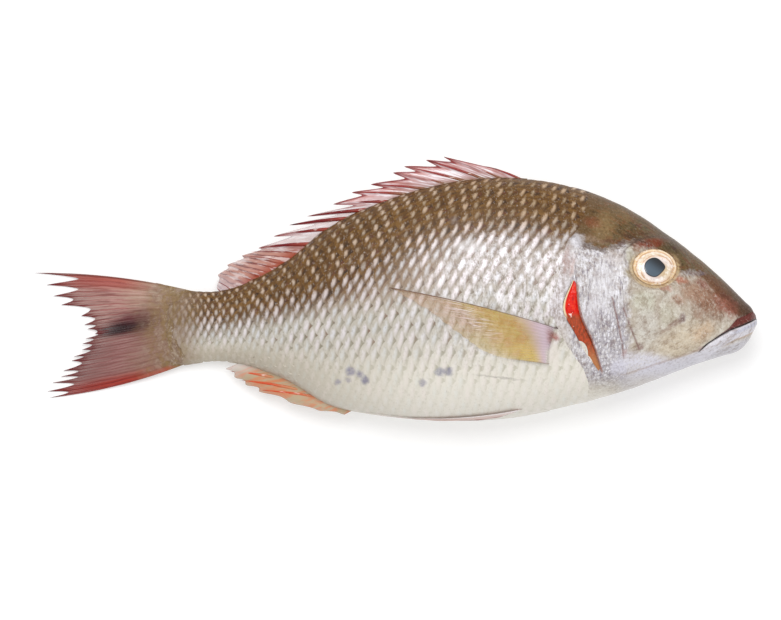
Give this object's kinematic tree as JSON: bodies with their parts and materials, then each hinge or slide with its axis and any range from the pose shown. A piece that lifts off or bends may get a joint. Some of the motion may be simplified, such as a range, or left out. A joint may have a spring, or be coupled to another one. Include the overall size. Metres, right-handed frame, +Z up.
{
  "type": "whole raw fish",
  "caption": "Whole raw emperor fish lying on its left side, with fins, forked tail, eyes, a shut mouth and an open gill slit.",
  "frame": {"origin": "on the table under the middle of the fish's box", "axes": "+X towards the snout, +Y towards the back and the dorsal fin, +Z up, out of the shown right side"},
  "size_m": [0.3586, 0.131, 0.0516],
  "materials": {
    "skin": "wet scaled skin, brown on the back, silver on the flank and cream on the belly",
    "fin": "thin wet fin skin between rays, pinkish brown",
    "eye": "clear wet eye with a golden cream iris and a blue grey pupil",
    "gill": "wet red gill"
  },
  "bodies": {
    "root": {"fish": "skin", "eye_right": "eye", "eye_left": "eye", "gill_right": "gill", "gill_left": "gill"}
  },
  "joints": []
}
